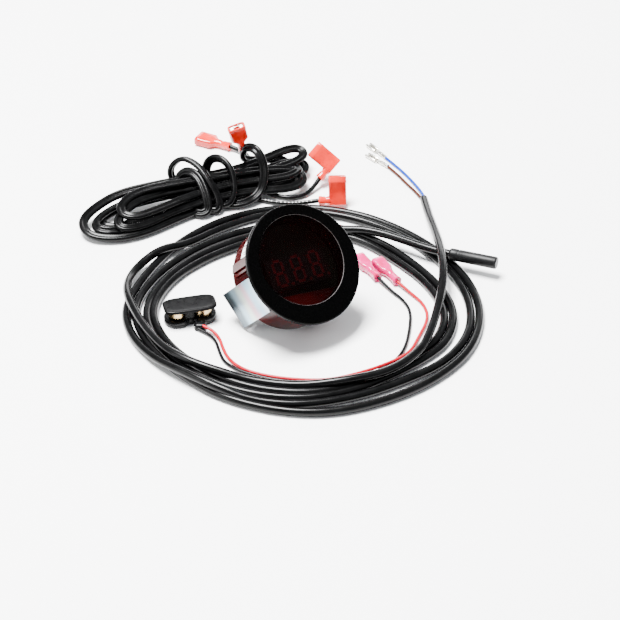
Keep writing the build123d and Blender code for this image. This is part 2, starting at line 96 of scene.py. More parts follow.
# each pass of the coil: compass angle in degrees, radius and height in mm, laid clockwise
COIL_PASSES = [
    # from the tail to the innermost front turn, then up over the left side
    (-53, 67.8, 6.4),
    (-72, 63.9, 6.2),
    (-92, 61.0, 3.0),
    (-112, 61.4, 2.8),
    (-124, 64.8, 5.2),
    (-136, 70.4, 7.4),
    (-148, 74.6, 7.4),
    (-162, 77.2, 7.0),
    (-174, 81.0, 7.0),
    (-186, 86.6, 6.6),
    (-196, 89.6, 3.4),
    (-204, 89.4, 3.6),
    (-213, 85.4, 6.4),
    (-223, 80.6, 3.2),
    (-238, 82.9, 2.1),
    (-255, 86.4, 2.1),
    (-270, 87.6, 2.1),
    (-286, 85.6, 2.1),
    (-302, 82.6, 2.1),
    (-317, 81.4, 2.1),
    # right side, third turn out, then the fourth at the front
    (-338, 81.0, 2.1),
    (-356, 81.9, 2.1),
    (-374, 82.1, 2.1),
    (-392, 78.9, 2.1),
    (-411, 72.9, 2.1),
    (-430, 72.2, 2.1),
    (-450, 73.9, 2.1),
    (-468, 75.0, 2.6),
    (-482, 76.2, 6.2),
    (-496, 77.4, 6.3),
    (-510, 80.8, 3.6),
    (-525, 84.6, 2.1),
    (-540, 86.9, 2.1),
    (-556, 84.3, 2.1),
    (-574, 84.6, 2.1),
    (-590, 87.0, 2.1),
    (-607, 90.6, 2.1),
    # outermost at the back and right, then at the front
    (-626, 92.0, 2.1),
    (-646, 90.1, 2.1),
    (-664, 86.6, 2.1),
    (-684, 85.0, 2.1),
    (-703, 85.9, 2.1),
    (-722, 86.9, 2.1),
    (-742, 86.0, 2.1),
    (-761, 82.6, 2.1),
    (-780, 80.4, 2.1),
    (-800, 80.6, 2.1),
    (-818, 79.0, 2.1),
    (-838, 77.6, 2.1),
    (-856, 76.2, 2.1),
    (-872, 77.4, 2.1),
    (-888, 80.2, 2.1),
    (-902, 82.4, 2.1),
    # third turn at the back, second at the right and front
    (-920, 79.2, 2.1),
    (-940, 76.4, 2.1),
    (-960, 75.6, 2.1),
    (-982, 77.0, 2.1),
    (-1004, 75.2, 2.1),
    (-1024, 70.6, 2.1),
    (-1043, 67.9, 2.1),
    (-1064, 70.4, 2.1),
    (-1082, 73.9, 2.1),
    (-1100, 73.4, 2.1),
    (-1114, 69.2, 2.1),
    (-1130, 66.3, 2.1),
    (-1150, 67.4, 2.1),
    (-1170, 69.7, 2.1),
    (-1192, 70.4, 2.1),
    (-1212, 71.3, 2.1),
    (-1236, 74.6, 2.1),
    (-1260, 78.1, 2.1),
    (-1284, 73.4, 2.1),
    (-1306, 70.4, 2.1),
    # innermost right, back and front
    (-1330, 69.8, 2.1),
    (-1352, 70.8, 2.1),
    (-1374, 68.0, 2.1),
    (-1396, 63.4, 2.1),
    (-1420, 65.6, 2.1),
    (-1442, 69.6, 2.1),
    (-1460, 68.9, 2.1),
    (-1476, 64.4, 2.1),
    (-1494, 62.6, 2.1),
    (-1512, 64.0, 2.1),
    (-1530, 65.5, 2.1),
    (-1554, 66.2, 2.1),
    (-1578, 67.4, 2.1),
    (-1600, 71.0, 2.1),
    (-1620, 73.9, 2.1),
    (-1640, 70.6, 2.1),
    (-1660, 66.4, 2.1),
    (-1680, 64.4, 2.2),
    (-1700, 65.6, 3.6),
]
BLUE_ROUTE = [
    (69.9, 101.6, 2.8),
    (68.3, 109.5, 1.6),
    (63.9, 121.0, 0.8),
    (57.8, 133.0, 0.8),
    (50.8, 143.8, 0.9),
]
BROWN_ROUTE = [
    (69.0, 101.0, 1.2),
    (66.0, 109.0, 0.8),
    (61.0, 118.0, 0.8),
    (56.6, 127.0, 0.8),
    (51.8, 134.6, 0.9),
]
BATTERY_RED_ROUTE = [
    (-43.5, -13.0, 2.6),
    (-38.6, -15.4, 2.2),
    (-34.4, -21.2, 1.0),
    (-32.6, -29.0, 0.8),
    (-29.6, -37.6, 0.8),
    (-23.0, -45.4, 0.8),
    (-12.0, -50.4, 0.8),
    (2.0, -53.4, 0.8),
    (18.0, -54.2, 1.0),
    (33.0, -50.6, 2.6),
    (46.5, -43.2, 2.6),
    (57.0, -33.0, 1.0),
    (61.6, -20.4, 0.8),
    (67.2, -5.0, 0.8),
    (65.6, 7.0, 0.8),
    (58.6, 16.8, 1.2),
    (53.0, 24.0, 2.5),
]
BATTERY_BLACK_ROUTE = [
    (-45.2, -13.9, 1.2),
    (-40.4, -17.2, 0.9),
    (-36.2, -22.8, 0.8),
    (-34.4, -31.0, 0.8),
    (-31.6, -40.4, 0.8),
    (-22.4, -48.0, 0.8),
    (-8.0, -53.8, 0.8),
    (9.0, -56.2, 0.8),
    (25.0, -55.0, 0.8),
    (38.0, -49.2, 0.8),
    (48.6, -41.0, 0.8),
    (54.6, -30.0, 0.8),
    (57.4, -15.6, 0.8),
    (58.8, 0.6, 0.8),
    (55.6, 10.4, 0.8),
    (49.0, 18.6, 1.2),
    (43.4, 27.4, 2.5),
]
FLAG_A_ROUTE = [
    (-13.0, 106.5, 2.0),
    (-5.0, 102.6, 1.3),
    (4.5, 103.6, 1.3),
    (10.0, 109.6, 1.6),
    (14.3, 116.4, 5.0),
]
FLAG_B_ROUTE = [
    (-27.0, 104.6, 1.6),
    (-14.0, 99.4, 1.3),
    (-2.0, 97.3, 1.2),
    (7.0, 97.0, 2.2),
    (13.8, 97.2, 3.3),
]
SLEEVE_C_ROUTE = [
    (-40.0, 116.0, 4.0),
    (-31.0, 124.6, 2.4),
    (-24.4, 133.0, 1.4),
    (-23.4, 142.4, 1.3),
    (-27.6, 149.6, 1.5),
    (-34.6, 153.2, 2.5),
]
SLEEVE_D_ROUTE = [
    (2.0, 117.0, 4.0),
    (-4.0, 127.4, 2.4),
    (-13.0, 131.0, 1.6),
    (-21.0, 130.8, 4.2),
    (-25.4, 128.4, 9.6),
    (-26.6, 126.0, 16.0),
]
HANK_CENTRE = (-52.0, 95.0)
HANK_TURN = 26.0
HANK_LOWEST = 2.45  # half the width of the twin cord, which lies on edge in places
# the twin cord in the hank's own frame: along it, across it and up, mm
HANK_ROUTE = [
    (26, -3, 2.0),
    (8, -5, 1.9),
    (-12, -8.5, 1.9),
    (-31, -13.5, 1.9),
    (-46, -13.5, 2.2),
    (-58, -8, 3.0),
    (-62, -1, 4.2),
    (-60, 7, 5.6),
    (-51, 13.5, 6.6),
    (-36, 17.6, 9.0),
    (-18, 15, 10.4),
    (-2, 12.4, 11.0),
    (16, 9.6, 11.0),
    (34, 9.4, 11.0),
    (50, 12.4, 11.6),
    (62, 14.6, 12.0),
    (68.6, 13, 11.4),
    (68.6, 7.6, 10.0),
    (60, 4.4, 9.2),
    (44, 3.4, 8.8),
    (24, 4.0, 8.6),
    (6, 5.4, 8.6),
    (-12, 7.6, 9.0),
    (-28, 6.8, 9.0),
    (-39, 2.2, 8.0),
    (-45.6, -4.6, 6.2),
    (-43, -10.0, 5.0),
    (-32, -10.6, 4.8),
    (-14, -5.6, 5.2),
    (8, -3.4, 5.6),
    (30, -5.6, 5.6),
    (46, -10.6, 5.0),
    (56, -11.6, 5.0),
    (61.6, -6.4, 5.6),
    (60, 0.4, 7.4),
    (48, 3.0, 9.6),
    (28, 3.8, 12.2),
    (8, 5.8, 12.8),
    (-12, 9.6, 12.4),
    (-28, 10.8, 11.6),
    (-38, 6.4, 10.2),
    (-41.6, -0.6, 9.0),
    (-36, -6.4, 8.2),
    (-22, -4.8, 8.4),
    (-4, -1.4, 9.0),
    (16, 0.2, 9.2),
    (36, -2.2, 8.6),
    (52, -5.4, 8.2),
    (60.6, -3.0, 8.4),
    (60.4, 3.4, 7.6),
    (48, 2.0, 6.2),
    (28, 1.6, 5.6),
    (6, 4.0, 5.4),
    (-16, 9.6, 6.2),
    (-34, 12.4, 6.4),
    (-48, 8.6, 5.2),
    (-55.4, 2.4, 4.4),
    (-54.4, -4.0, 3.8),
    (-46, -7.4, 3.4),
    (-28, -6.2, 2.6),
    (-6, -1.6, 2.2),
    (16, 1.4, 2.2),
    (38, -0.6, 2.4),
    (54, -2.6, 3.0),
    (65, 0.6, 4.4),
    (68.4, 6.4, 6.0),
    (62, 10.4, 6.8),
    (46, 8.6, 7.0),
    (26, 8.4, 6.0),
    (4, 9.4, 4.4),
    (-18, 12.8, 3.4),
    (-38, 12.6, 3.2),
    (-50, 7.0, 3.0),
    (-51, 0.6, 2.6),
    (-42, -3.0, 2.2),
    (-22, 1.6, 2.0),
    (0, 4.4, 1.9),
    (24, 5.0, 2.0),
    (44, 5.0, 2.4),
    (57, 8.4, 3.4),
    (61, 14.0, 5.0),
    (54, 17.4, 6.6),
    (40, 16.6, 9.0),
    # over the top as the tall loose turn
    (33.6, 15.0, 15.0),
    (36.4, 12.4, 22.0),
    (40.0, 4.4, 22.4),
    (40.2, -3.6, 13.0),
    (33.6, -9.6, 4.2),
    (22, -11.4, 2.2),
    (12.6, -6, 1.6),
    # second turn
    (12.6, 8, 1.4),
    (13.4, 16.4, 7.4),
    (15.4, 15.4, 17.6),
    (20.4, 9.4, 20.6),
    (23.0, 0.6, 16.4),
    (20.4, -7.6, 7.4),
    (15.4, -9.6, 1.9),
    (8.6, -3.6, 0.9),
    (1.6, 9.0, 0.9),
    (-3.0, 19.0, 5.0),
    (-5.0, 21.4, 14.0),
    (1.6, 19.6, 20.6),
    (7.4, 11.4, 18.8),
    (9.6, 1.4, 14.4),
    (11.4, -7.6, 7.4),
    (9.2, -12.2, 2.2),
    (3.6, -8.4, 1.2),
    (0.6, 2.0, 0.9),
    (-3.0, 12.8, 3.4),
    (-3.4, 15.6, 10.0),
    (1.2, 13.6, 15.8),
    (5.2, 6.4, 15.6),
    (5.4, -3.4, 10.0),
    (4.0, -10.4, 4.2),
    (0.2, -11.0, 1.4),
    (-3.6, -6.6, 1.4),
    (0.0, 0.6, 1.4),
    (8.0, 7.0, 1.8),
    (15.0, 11.0, 2.8),
    (20.0, 13.4, 3.8),
]
SNAP_TURN = 14.0


def polar_point(angle, radius, height):
    turn = math.radians(angle)
    x = COIL_CENTRE[0] + COIL_SPREAD * radius * math.cos(turn)
    y = COIL_CENTRE[1] + COIL_SPREAD * radius * math.sin(turn)
    return (x, y, height)


def hank_point(along, across, up):
    turn = math.radians(HANK_TURN)
    x = HANK_CENTRE[0] + along * math.cos(turn) - across * math.sin(turn)
    y = HANK_CENTRE[1] + along * math.sin(turn) + across * math.cos(turn)
    return (x, y, max(up, HANK_LOWEST))


def metres(points):
    return [Vector(p) * MM for p in points]


# ---------------------------------------------------------------- cords
def spline_curve(name, points, bevel=0.0):
    """Curve of one open quadratic NURBS spline that starts and ends on its end points."""
    data = bpy.data.curves.new(name, "CURVE")
    data.dimensions = "3D"
    data.resolution_u = 8
    spline = data.splines.new("NURBS")
    spline.points.add(len(points) - 1)
    for control, place in zip(spline.points, points):
        control.co = (place[0], place[1], place[2], 1.0)
    spline.order_u = 3
    spline.use_endpoint_u = True
    data.bevel_depth = bevel
    data.bevel_resolution = 6
    data.use_fill_caps = bevel > 0
    curve = bpy.data.objects.new(name, data)
    bpy.context.scene.collection.objects.link(curve)
    return curve


def spline_line(points):
    """Points along the NURBS spline through these control points."""
    curve = spline_curve("line", points)
    bpy.context.view_layer.update()
    mesh = bpy.data.meshes.new_from_object(curve)
    line = [vertex.co.copy() for vertex in mesh.vertices]
    bpy.data.objects.remove(curve)
    bpy.data.meshes.remove(mesh)
    return line


def line_length(line):
    return sum((b - a).length for a, b in zip(line, line[1:]))


def carried_frames(line, start_normal):
    """Tangent and normal at each point, turned as little as possible along the line."""
    frames = []
    normal = Vector(start_normal)
    last = len(line) - 1
    for index, place in enumerate(line):
        before = line[max(index - 1, 0)]
        after = line[min(index + 1, last)]
        tangent = (after - before).normalized()
        normal = (normal - tangent * normal.dot(tangent)).normalized()
        frames.append((place, tangent, normal.copy()))
    return frames


def mesh_object(name, vertices, faces, smooth=True):
    mesh = bpy.data.meshes.new(name)
    mesh.from_pydata([tuple(v) for v in vertices], [], faces)
    mesh.validate()
    work = bmesh.new()
    work.from_mesh(mesh)
    bmesh.ops.recalc_face_normals(work, faces=work.faces)
    work.to_mesh(mesh)
    work.free()
    for polygon in mesh.polygons:
        polygon.use_smooth = smooth
    obj = bpy.data.objects.new(name, mesh)
    bpy.context.scene.collection.objects.link(obj)
    return obj


def loft(name, rings, closed_ends=True, smooth=True):
    """Skin through rings that have the same number of points."""
    vertices = [v for ring in rings for v in ring]
    count = len(rings[0])
    faces = []
    for level in range(len(rings) - 1):
        for k in range(count):
            a = level * count + k
            b = level * count + (k + 1) % count
            faces.append((a, b, b + count, a + count))
    if closed_ends:
        faces.append(tuple(range(count - 1, -1, -1)))
        top = (len(rings) - 1) * count
        faces.append(tuple(range(top, top + count)))
    return mesh_object(name, vertices, faces, smooth)


def twin_section(width, thick, waist, steps=32):
    """Outline of a twin flat cord: two round cores with a groove between them."""
    outline = []
    for k in range(steps):
        turn = 2 * math.pi * (k + 0.5) / steps
        across = math.cos(turn) * width / 2
        share = abs(across) / (width / 2)
        core = math.sqrt(max(0.0, 1 - (2 * share - 1) ** 2))
        half = thick / 2 * core
        if share < 0.5:
            half = max(half, waist / 2)
        rise = math.copysign(half, math.sin(turn))
        outline.append((across, rise))
    return outline


POWER_WIDTH = 5.0 * MM
POWER_THICK = 2.7 * MM
POWER_WAIST = 1.2 * MM


def twin_cord(name, points):
    line = spline_line(points)
    section = twin_section(POWER_WIDTH, POWER_THICK, POWER_WAIST)
    rings = []
    for place, tangent, normal in carried_frames(line, (0, 0, 1)):
        side = tangent.cross(normal)
        rings.append([place + side * a + normal * b for a, b in section])
    return loft(name, rings), line


def coil_route():
    turns = metres([polar_point(*entry) for entry in COIL_PASSES])
    return metres(SENSOR_TAIL) + turns + metres(SENSOR_PROBE)


def make_cord(name, points, diameter, cad_nodes):
    """A round cord swept along its NURBS route."""
    curve = spline_curve(name + "_route", points, diameter / 2)
    bpy.context.view_layer.update()
    mesh = bpy.data.meshes.new_from_object(curve)
    mesh.materials.clear()
    bpy.data.objects.remove(curve)
    for polygon in mesh.polygons:
        polygon.use_smooth = len(polygon.vertices) == 4
    tube = bpy.data.objects.new(name, mesh)
    bpy.context.scene.collection.objects.link(tube)
    line = spline_line(points)
    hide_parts(*cad_nodes)
    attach(tube, ROOT)
    return tube


# ---------------------------------------------------------------- materials
def grain_material(
    name,
    low,
    high,
    scale=300.0,
    rough=(0.3, 0.45),
    bump=0.05,
    bump_scale=1500.0,
    bump_depth=0.0001,
    sockets=None,
    alpha=None,
):
    """Principled surface whose colour, roughness and bump vary with noise in the object's frame."""
    material = bpy.data.materials.new(name)
    material.use_nodes = True
    tree = material.node_tree
    shader = tree.nodes["Principled BSDF"]
    place = tree.nodes.new("ShaderNodeTexCoord")
    broad = tree.nodes.new("ShaderNodeTexNoise")
    broad.inputs["Scale"].default_value = scale
    broad.inputs["Detail"].default_value = 6.0
    tree.links.new(place.outputs["Object"], broad.inputs["Vector"])
    ramp = tree.nodes.new("ShaderNodeValToRGB")
    ramp.color_ramp.elements[0].position = 0.32
    ramp.color_ramp.elements[1].position = 0.68
    ramp.color_ramp.elements[0].color = (*low, 1.0)
    ramp.color_ramp.elements[1].color = (*high, 1.0)
    tree.links.new(broad.outputs["Fac"], ramp.inputs["Fac"])
    tree.links.new(ramp.outputs["Color"], shader.inputs["Base Color"])
    fine = tree.nodes.new("ShaderNodeTexNoise")
    fine.inputs["Scale"].default_value = bump_scale
    fine.inputs["Detail"].default_value = 4.0
    tree.links.new(place.outputs["Object"], fine.inputs["Vector"])
    span = tree.nodes.new("ShaderNodeMapRange")
    span.inputs["From Min"].default_value = 0.3
    span.inputs["From Max"].default_value = 0.7
    span.inputs["To Min"].default_value = rough[0]
    span.inputs["To Max"].default_value = rough[1]
    tree.links.new(broad.outputs["Fac"], span.inputs["Value"])
    tree.links.new(span.outputs["Result"], shader.inputs["Roughness"])
    relief = tree.nodes.new("ShaderNodeBump")
    relief.inputs["Strength"].default_value = bump
    relief.inputs["Distance"].default_value = bump_depth
    tree.links.new(fine.outputs["Fac"], relief.inputs["Height"])
    tree.links.new(relief.outputs["Normal"], shader.inputs["Normal"])
    for socket, value in (sockets or {}).items():
        shader.inputs[socket].default_value = value
    if alpha is not None:
        shader.inputs["Alpha"].default_value = alpha
    return material


MATERIALS = {
    "bezel_black": grain_material(
        "bezel_black", (0.0001, 0.0001, 0.0001), (0.0003, 0.0003, 0.0003), 900, (0.24, 0.3), 0.2, 2600,
        0.0001, {"Specular IOR Level": 0.035},
    ),
    # painted highlight: the bead's grey colour stands in for the light line along the window's rounded
    # edge
    "painted_edge_highlight": grain_material(
        "painted_edge_highlight", (0.035, 0.03, 0.03), (0.07, 0.06, 0.06), 500, (0.45, 0.6), 0.1, 2500,
        0.0001, {"Specular IOR Level": 0.5},
    ),
    "smoked_window": grain_material(
        "smoked_window", (0.0002, 0.0, 0.0), (0.001, 0.0, 0.0), 60, (0.05, 0.07), 0.003, 300,
        0.0001, {"Specular IOR Level": 0.05, "IOR": 1.49}, 0.56,
    ),
    # painted light: red colour that stands in for light shining through the red case wall behind the
    # window
    "painted_window_light": grain_material(
        "painted_window_light", (0.06, 0.0003, 0.0003), (0.24, 0.0008, 0.0008), 60, (0.25, 0.4), 0.1, 900,
    ),
    "red_case": grain_material(
        "red_case", (0.006, 0.0001, 0.0002), (0.045, 0.0003, 0.0005), 45, (0.1, 0.16), 0.03, 900,
        0.0001, {"IOR": 1.49, "Specular IOR Level": 0.12},
    ),
    "cover_black": grain_material(
        "cover_black", (0.003, 0.003, 0.003), (0.008, 0.008, 0.008), 400, (0.42, 0.55), 0.3, 3000,
    ),
    # its base colour is replaced further down by passivation tints with painted shade towards the rear
    "zinc_steel": grain_material(
        "zinc_steel", (0.5, 0.66, 0.74), (0.9, 0.86, 0.86), 40, (0.24, 0.4), 0.12, 1400,
        0.0001, {"Metallic": 0.85},
    ),
    "plated_screw": grain_material(
        "plated_screw", (0.5, 0.48, 0.42), (0.7, 0.68, 0.6), 900, (0.2, 0.34), 0.15, 4000,
        0.0001, {"Metallic": 1.0},
    ),
    "tin_brass": grain_material(
        "tin_brass", (0.52, 0.5, 0.44), (0.8, 0.78, 0.72), 700, (0.2, 0.36), 0.2, 3200,
        0.0001, {"Metallic": 1.0},
    ),
    "contact_brass": grain_material(
        "contact_brass", (0.4, 0.27, 0.12), (0.62, 0.46, 0.25), 700, (0.18, 0.34), 0.2, 3200,
        0.0001, {"Metallic": 1.0},
    ),
    "label_white": grain_material(
        "label_white", (0.78, 0.78, 0.77), (0.9, 0.9, 0.89), 500, (0.45, 0.6), 0.1, 4000,
    ),
    "label_ink": grain_material(
        "label_ink", (0.004, 0.004, 0.004), (0.012, 0.012, 0.012), 900, (0.4, 0.5), 0.1, 4000,
    ),
    "circuit_board": grain_material(
        "circuit_board", (0.0012, 0.003, 0.0012), (0.003, 0.006, 0.002), 700, (0.35, 0.5), 0.2, 1800,
    ),
    "chip_black": grain_material(
        "chip_black", (0.006, 0.006, 0.006), (0.016, 0.016, 0.016), 900, (0.45, 0.6), 0.2, 5000,
    ),
    "crystal_can": grain_material(
        "crystal_can", (0.6, 0.6, 0.58), (0.78, 0.78, 0.76), 800, (0.2, 0.32), 0.1, 3000,
        0.0001, {"Metallic": 1.0},
    ),
    "display_grey": grain_material(
        "display_grey", (0.003, 0.0006, 0.0008), (0.007, 0.001, 0.0014), 300, (0.35, 0.5), 0.1, 2500,
    ),
    "segment_red": grain_material(
        "segment_red", (0.1, 0.0012, 0.004), (0.17, 0.0025, 0.007), 500, (0.3, 0.4), 0.1, 3000,
    ),
    "snap_vinyl": grain_material(
        "snap_vinyl", (0.0008, 0.0008, 0.001), (0.002, 0.002, 0.0024), 500, (0.24, 0.32), 0.2, 2200,
        0.0001, {"Specular IOR Level": 0.15},
    ),
    "snap_plate": grain_material(
        "snap_plate", (0.0008, 0.0008, 0.0009), (0.002, 0.002, 0.0022), 350, (0.26, 0.36), 0.3, 2600,
        0.0001, {"Specular IOR Level": 0.09},
    ),
    "wire_red": grain_material(
        "wire_red", (0.26, 0.0, 0.007), (0.36, 0.0, 0.012), 400, (0.2, 0.3), 0.08, 2500,
        0.0001, {"Specular IOR Level": 0.12},
    ),
    "wire_black": grain_material(
        "wire_black", (0.0008, 0.0008, 0.001), (0.002, 0.002, 0.0024), 400, (0.22, 0.3), 0.08, 2500,
        0.0001, {"Specular IOR Level": 0.14},
    ),
    "wire_blue": grain_material(
        "wire_blue", (0.0005, 0.016, 0.2), (0.002, 0.04, 0.3), 400, (0.25, 0.38), 0.08, 2500,
        0.0001, {"Specular IOR Level": 0.15},
    ),
    "wire_brown": grain_material(
        "wire_brown", (0.022, 0.005, 0.002), (0.05, 0.012, 0.005), 400, (0.3, 0.4), 0.08, 2500,
        0.0001, {"Specular IOR Level": 0.15},
    ),
    "cable_jacket": grain_material(
        "cable_jacket", (0.0006, 0.0006, 0.0006), (0.0018, 0.0018, 0.0019), 160, (0.2, 0.25), 0.03,
        1200, 0.0001, {"Specular IOR Level": 0.13},
    ),
    "probe_black": grain_material(
        "probe_black", (0.001, 0.001, 0.0011), (0.003, 0.003, 0.0033), 500, (0.34, 0.46), 0.3, 3200,
        0.0001, {"Specular IOR Level": 0.15},
    ),
    "probe_potting": grain_material(
        "probe_potting", (0.05, 0.05, 0.052), (0.11, 0.11, 0.115), 900, (0.5, 0.65), 0.4, 4200,
    ),
    "sleeve_pink": grain_material(
        "sleeve_pink", (0.5, 0.0, 0.075), (0.7, 0.01, 0.19), 250, (0.14, 0.24), 0.1, 1500,
        0.0001, {"Transmission Weight": 0.3, "IOR": 1.45, "Coat Weight": 0.3},
    ),
    "sleeve_red": grain_material(
        "sleeve_red", (0.55, 0.002, 0.0), (0.8, 0.03, 0.012), 120, (0.14, 0.24), 0.1, 1500,
        0.0001, {"Transmission Weight": 0.3, "IOR": 1.45, "Coat Weight": 0.3},
    ),
    "cord_black": grain_material(
        "cord_black", (0.0005, 0.0005, 0.0005), (0.0016, 0.0016, 0.0017), 220, (0.19, 0.24), 0.03, 1300,
        0.0001, {"Specular IOR Level": 0.11},
    ),
    "print_white": grain_material(
        "print_white", (0.6, 0.6, 0.6), (0.8, 0.8, 0.78), 900, (0.45, 0.6), 0.1, 4000,
    ),
}


BAND_BEND = 0.35  # how far the noise moves a band, as a share of the whole run


def band_colours(material, axis, start, end, stops):
    """Replaces a material's base colour with soft bands along an axis, bent by its noise."""
    tree = material.node_tree
    shader = tree.nodes["Principled BSDF"]
    place = next(n for n in tree.nodes if n.type == "TEX_COORD")
    broad = next(n for n in tree.nodes if n.type == "TEX_NOISE")
    dot = tree.nodes.new("ShaderNodeVectorMath")
    dot.operation = "DOT_PRODUCT"
    dot.inputs[1].default_value = tuple(axis)
    tree.links.new(place.outputs["Object"], dot.inputs[0])
    bend = tree.nodes.new("ShaderNodeMath")
    bend.operation = "MULTIPLY_ADD"
    bend.inputs[1].default_value = BAND_BEND * (end - start)
    tree.links.new(broad.outputs["Fac"], bend.inputs[0])
    tree.links.new(dot.outputs["Value"], bend.inputs[2])
    span = tree.nodes.new("ShaderNodeMapRange")
    span.inputs["From Min"].default_value = start + 0.17 * (end - start)
    span.inputs["From Max"].default_value = end + 0.17 * (end - start)
    tree.links.new(bend.outputs["Value"], span.inputs["Value"])
    ramp = tree.nodes.new("ShaderNodeValToRGB")
    ramp.color_ramp.interpolation = "EASE"
    while len(ramp.color_ramp.elements) < len(stops):
        ramp.color_ramp.elements.new(0.5)
    for element, (position, colour) in zip(ramp.color_ramp.elements, stops):
        element.position = position
        element.color = (*colour, 1.0)
    tree.links.new(span.outputs["Result"], ramp.inputs["Fac"])
    tree.links.new(ramp.outputs["Color"], shader.inputs["Base Color"])


def finish_with(obj, name):
    """Gives obj a material of this script."""
    obj.data.materials.clear()
    obj.data.materials.append(MATERIALS[name])
    return obj


# ---------------------------------------------------------------- CAD nodes that stay
NODE_FINISH = {
    "bezel_black": ["bezel"],
    "smoked_window": ["window_lens"],
    "red_case": ["case"],
    "cover_black": ["back_cover"],
    "zinc_steel": ["clamp_bracket", "bracket_washers"],
    "plated_screw": ["cover_screws", "clamp_nut_1", "clamp_nut_2", "stud_1", "stud_2"],
    "tin_brass": [
        "power_tab_plus",
        "power_tab_minus",
        "sensor_tab_1",
        "sensor_tab_2",
        "battery_receptacles",
        "power_receptacles",
    ],
    "contact_brass": ["snap_contacts", "snap_cover_contacts"],
    "circuit_board": ["main_board", "display_board"],
    "chip_black": ["controller_chip", "voltage_regulator", "board_header", "capacitors"],
    "crystal_can": ["timing_crystal"],
    "display_grey": ["display_block"],
    "segment_red": ["display_segments"],
}
EDGE_BREAK = {
    "clamp_bracket": 0.12,
    "bracket_washers": 0.12,
    "clamp_nut_1": 0.35,
    "clamp_nut_2": 0.35,
    "back_cover": 0.2,
    "case": 0.2,
    "snap_contacts": 0.25,
    "snap_cover_contacts": 0.25,
}


def break_edges(obj, width):
    bevel = obj.modifiers.new("edge_break", "BEVEL")
    bevel.width = width * MM
    bevel.segments = 2
    bevel.limit_method = "ANGLE"
    bevel.angle_limit = math.radians(40.0)


def dress_cad_nodes():
    for finish, names in NODE_FINISH.items():
        for name in names:
            finish_with(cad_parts[name], finish)
    for name, width in EDGE_BREAK.items():
        break_edges(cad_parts[name], width)


dress_cad_nodes()


# ---------------------------------------------------------------- lofted fittings
def oval(half_a, half_b, power, steps=32):
    """Outline between an ellipse (power 2) and a rounded rectangle (power 5 and more)."""
    points = []
    for k in range(steps):
        turn = 2 * math.pi * (k + 0.5) / steps
        c = math.cos(turn)
        s = math.sin(turn)
        a = math.copysign(abs(c) ** (2 / power), c) * half_a
        b = math.copysign(abs(s) ** (2 / power), s) * half_b
        points.append((a, b))
    return points


def rings_along_x(profile, steps=32):
    """Rings of a loft along local X from rows of x, half width, half height and power, mm."""
    rows = []
    for x, half_width, half_height, power in profile:
        rows.append([(x, a, b) for a, b in oval(half_width, half_height, power, steps)])
    return rows


def rings_along_z(profile, centre_x=0.0, steps=32):
    """Rings of a loft along local Z from rows of z, half length, half depth and power, mm."""
    rows = []
    for z, half_x, half_y, power in profile:
        rows.append([(centre_x + a, b, z) for a, b in oval(half_x, half_y, power, steps)])
    return rows


def placed(rings, place):
    return [[place @ (Vector(p) * MM) for p in ring] for ring in rings]


def joined(name, parts):
    """Several lofts as one object."""
    lofts = [loft(name + "_part", rings) for rings in parts]
    work = bmesh.new()
    for piece in lofts:
        work.from_mesh(piece.data)
        mesh = piece.data
        bpy.data.objects.remove(piece)
        bpy.data.meshes.remove(mesh)
    made = bpy.data.meshes.new(name)
    work.to_mesh(made)
    work.free()
    obj = bpy.data.objects.new(name, made)
    bpy.context.scene.collection.objects.link(obj)
    return obj


def sharpen(obj, degrees=38.0):
    """Smooth shading that keeps edges sharper than this angle."""
    limit = math.radians(degrees)
    work = bmesh.new()
    work.from_mesh(obj.data)
    for face in work.faces:
        face.smooth = True
    for edge in work.edges:
        if len(edge.link_faces) == 2:
            edge.smooth = edge.calc_face_angle(0.0) < limit
    work.to_mesh(obj.data)
    work.free()
    return obj


def frame_along(start, direction, roll_axis=(0, 0, 1)):
    """Frame at start, in mm, whose +X runs along direction and whose +Z is near roll_axis."""
    x_axis = Vector(direction).normalized()
    side = Vector(roll_axis).cross(x_axis).normalized()
    up = x_axis.cross(side)
    place = Matrix((x_axis, side, up)).transposed().to_4x4()
    place.translation = Vector(start) * MM
    return place


def add_fitting(name, parts, place, finish, nodes=(), body=ROOT):
    obj = sharpen(joined(name, [placed(rings, place) for rings in parts]))
    finish_with(obj, finish)
    if nodes:
        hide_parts(*nodes)
    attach(obj, body)
    return obj


MOUTH_WALL = 0.85
BATTERY_SLEEVE = (6.5, 21.0)
POWER_SLEEVE = (9.4, 20.5)
SLEEVE_HALF_HEIGHT = 2.3
FLAG_MIDDLE = 10.1


def straight_sleeve(width, length):
    """Insulated push-on receptacle: a crimped barrel that widens into a flat mouth."""
    half = width / 2
    high = SLEEVE_HALF_HEIGHT
    neck = 0.42 * length
    profile = [
        (0.0, 2.1, 2.1, 2.0),
        (0.25, 2.4, 2.4, 2.0),
        (1.3, 2.4, 2.4, 2.0),
        (1.7, 2.2, 2.2, 2.0),
        (0.2 * length, 2.15, 2.15, 2.0),
        (0.23 * length, 2.05, 1.75, 2.4),
        (0.28 * length, 2.05, 1.75, 2.4),
        (0.31 * length, 2.15, 2.15, 2.0),
        (neck, 2.3, 2.2, 2.4),
        (neck + 1.5, 0.84 * half, 2.2, 3.2),
        (neck + 2.8, half, high, 5.0),
        (length - 2.6, half, high, 5.0),
        (length - 2.3, half + 0.1, high + 0.08, 5.0),
        (length - 1.4, half + 0.1, high + 0.08, 5.0),
        (length - 1.1, half, high, 5.0),
        (length - 0.3, half, high, 5.0),
        (length, half - 0.25, high - 0.25, 5.0),
        (length, half - MOUTH_WALL, high - MOUTH_WALL, 6.0),
        (length - 8.4, half - MOUTH_WALL - 0.1, high - MOUTH_WALL - 0.05, 6.0),
    ]
    return [rings_along_x(profile)]


